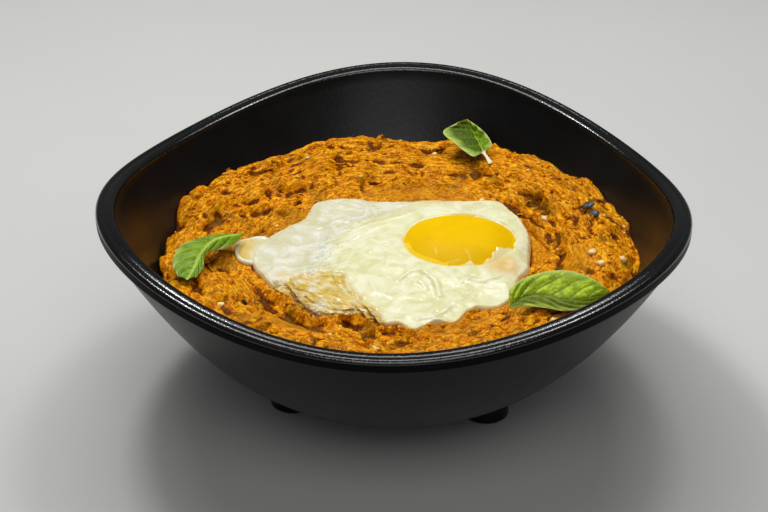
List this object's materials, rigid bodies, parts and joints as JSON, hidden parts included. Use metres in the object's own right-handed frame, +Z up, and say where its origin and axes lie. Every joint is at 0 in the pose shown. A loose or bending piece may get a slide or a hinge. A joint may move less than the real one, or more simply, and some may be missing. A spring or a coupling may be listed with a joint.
{
  "type": "mirza ghasemi in a bowl",
  "caption": "Smoky aubergine mash piled in a black three-cornered bowl on small feet, topped with a fried egg and basil leaves.",
  "frame": {"origin": "on the ground under the middle of the bowl's outline; the bowl's own axis stands 2 mm towards -Y of it, because one corner reaches out along +Y", "axes": "+Z up, +Y towards the back corner of the bowl, +X to the right of someone who sees the yolk on the right of the egg"},
  "size_m": [0.2084, 0.208, 0.0821],
  "materials": {
    "bowl": "moulded black melamine, satin, smoother and glossier on the lip",
    "mash": "moist orange-brown mash, rough and crumbly with oily gloss on its ridges",
    "egg_white": "set egg white, glossy, translucent where thin, browned at one edge",
    "egg_yolk": "soft yolk under a thin skin, glossy",
    "basil": "fresh leaf, waxy sheen with raised veins"
  },
  "bodies": {
    "root": {"bowl": "bowl", "mash": "mash", "egg_white": "egg_white", "egg_yolk": "egg_yolk", "basil_leaf_right": "basil", "basil_leaf_left": "basil", "basil_leaf_back": "basil"}
  },
  "joints": []
}
